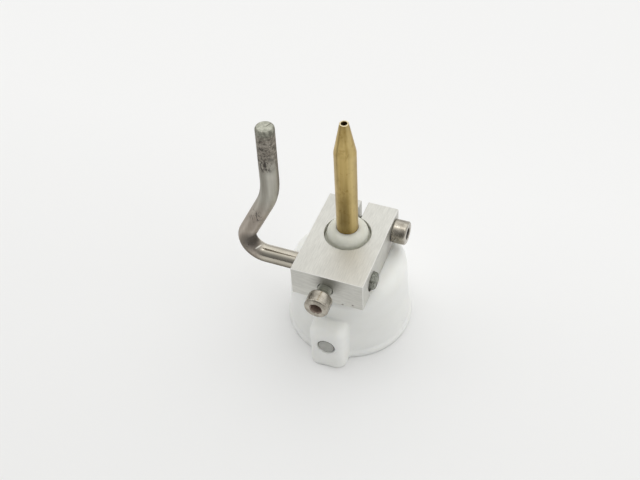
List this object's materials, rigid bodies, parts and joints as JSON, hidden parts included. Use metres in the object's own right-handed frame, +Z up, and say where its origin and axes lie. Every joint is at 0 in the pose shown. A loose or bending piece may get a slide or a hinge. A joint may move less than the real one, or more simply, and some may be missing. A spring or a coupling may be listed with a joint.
{
  "type": "ignition electrode",
  "caption": "Boiler burner ignition electrode: a brass electrode in a white insulating cup, with a bent earth rod held beside it in a slotted clamp on the neck.",
  "frame": {"origin": "centre of the cup's open base, on the axis of the electrode", "axes": "+Z up along the electrode, -Y towards the cup's boss and the block's rod end, -X towards the bend of the earth rod"},
  "size_m": [0.0465, 0.0427, 0.075],
  "materials": {
    "moulded_white": "gloss",
    "sleeve_white": "satin",
    "electrode_brass": "satin",
    "block_aluminium": "brushed",
    "rod_steel": "heat stained",
    "screw_steel": "satin",
    "pin_steel": "matt",
    "hardware_steel": "satin"
  },
  "bodies": {
    "insulator": {"insulator_cup": "moulded_white", "locating_pin": "pin_steel", "insulating_sleeve": "sleeve_white", "centre_electrode": "electrode_brass", "electrode_washer": "hardware_steel", "electrode_spring_washer": "hardware_steel", "electrode_nut": "hardware_steel"},
    "clamp": {"clamp_block": "block_aluminium"},
    "rod": {"ignition_rod": "rod_steel"},
    "clamp_screw": {"clamp_screw": "screw_steel"},
    "rod_screw": {"rod_screw": "screw_steel"}
  },
  "joints": [
    {"name": "clamp_turn", "type": "hinge", "parent": "insulator", "child": "clamp", "pos_m": [0, 0, 0.0283], "axis": [0, 0, 1], "continuous": true},
    {"name": "rod_slide", "type": "slide", "parent": "clamp", "child": "rod", "axis": [1, 0, 0], "range_m": [-0.007, 0.01]},
    {"name": "clamp_screw_travel", "type": "slide", "parent": "clamp", "child": "clamp_screw", "axis": [1, 0, 0], "range_m": [0, 0.005]},
    {"name": "rod_screw_travel", "type": "slide", "parent": "clamp", "child": "rod_screw", "axis": [0, -1, 0], "range_m": [0, 0.004]}
  ]
}
